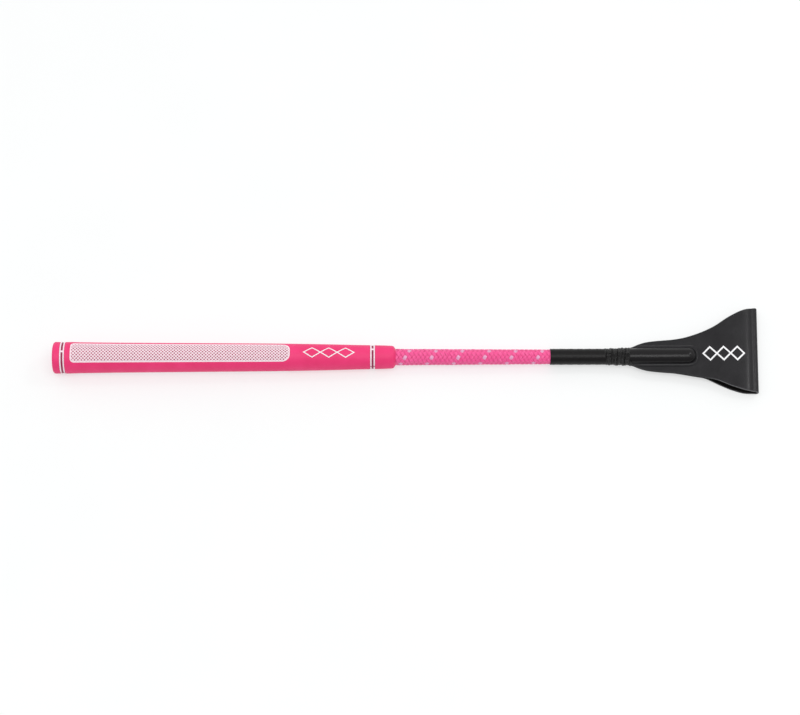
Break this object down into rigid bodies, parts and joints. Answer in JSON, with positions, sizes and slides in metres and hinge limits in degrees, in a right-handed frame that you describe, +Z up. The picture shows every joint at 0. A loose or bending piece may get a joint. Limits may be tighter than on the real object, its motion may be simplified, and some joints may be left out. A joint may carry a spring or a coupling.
{
  "type": "riding crop",
  "caption": "Short riding crop with a moulded rubber grip, a braided shaft with a black sleeve, and a wide folded leather flap that flexes.",
  "frame": {"origin": "on the table under the middle of the crop's bounding box, with the crop lying flat", "axes": "+X from the grip's butt towards the flap, +Z up from the table, +Y across the flap. The shaft leans 0.54 degrees from +X in the XZ plane, because the butt is thicker than the tip."},
  "size_m": [0.5378, 0.0704, 0.0241],
  "materials": {
    "grip_rubber": "satin raspberry-pink rubber",
    "white_inlay": "satin white rubber let into the grip, with a fine net texture on the panels",
    "braid_nylon": "pink braided nylon with one silver tracer strand",
    "padding_yarn": "undyed filler yarn",
    "fibreglass": "pultruded fibreglass, pale",
    "former_plastic": "moulded plastic",
    "double_sided_tape": "thin tape",
    "plug_rubber": "matt black rubber",
    "black_sleeve": "glossy black heat-shrunk sleeve",
    "black_thread": "waxed black thread",
    "black_leather": "smooth finished black leather",
    "cap_nylon": "moulded nylon"
  },
  "bodies": {
    "crop": {"fibreglass_rod": "fibreglass", "handle_former": "former_plastic", "butt_plug": "plug_rubber", "grip_tape": "double_sided_tape", "rubber_grip": "grip_rubber", "grip_panel_top": "white_inlay", "grip_panel_under": "white_inlay", "butt_ring_pair": "white_inlay", "fore_ring_pair": "white_inlay", "shaft_padding": "padding_yarn", "braided_cover": "braid_nylon", "rear_braid_binding": "black_thread", "shrink_sleeve": "black_sleeve", "tip_padding": "padding_yarn", "tip_cap": "cap_nylon", "neck_whipping": "black_thread", "flap_pocket_upper": "black_leather", "flap_pocket_lower": "black_leather"},
    "flap": {"flap_upper_leaf": "black_leather", "flap_fold": "black_leather", "flap_lower_leaf": "black_leather"}
  },
  "joints": [
    {"name": "flap_flex", "type": "hinge", "parent": "crop", "child": "flap", "pos_m": [0.2221, -0.0053, 0.00751], "axis": [0, 1, 0], "range_deg": [-70, 70], "stiffness_Nm_per_rad": 0.1}
  ]
}
